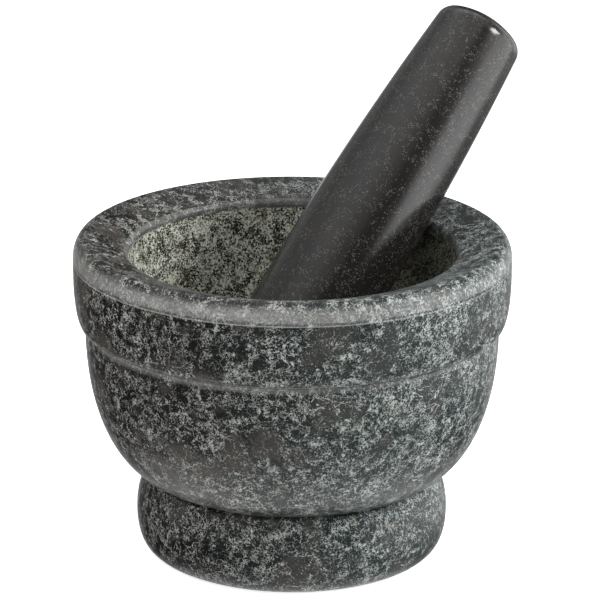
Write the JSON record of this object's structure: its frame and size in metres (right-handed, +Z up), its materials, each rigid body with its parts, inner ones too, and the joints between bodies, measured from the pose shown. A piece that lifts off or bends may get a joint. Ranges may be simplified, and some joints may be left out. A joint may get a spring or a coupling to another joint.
{
  "type": "mortar and pestle",
  "caption": "Heavy stone mortar with a banded rim and ring foot, turned from one block, and a loose tapered stone pestle that leans in its bowl and lifts out.",
  "frame": {"origin": "centre of the flat underside of the mortar's foot", "axes": "+Z up along the mortar's axis; the pestle leans towards +X and +Y, and the front is -Y"},
  "size_m": [0.2083, 0.2032, 0.2426],
  "materials": {
    "mortar_granite": "grey flecked granite, honed outside, rough inside the bowl",
    "pestle_granite": "dark granite, polished smooth"
  },
  "bodies": {
    "mortar": {"mortar": "mortar_granite"},
    "pestle": {"pestle": "pestle_granite"}
  },
  "joints": [
    {"name": "pestle_lift", "type": "slide", "parent": "mortar", "child": "pestle", "axis": [0, 0, 1], "range_m": [0, 0.14]}
  ]
}
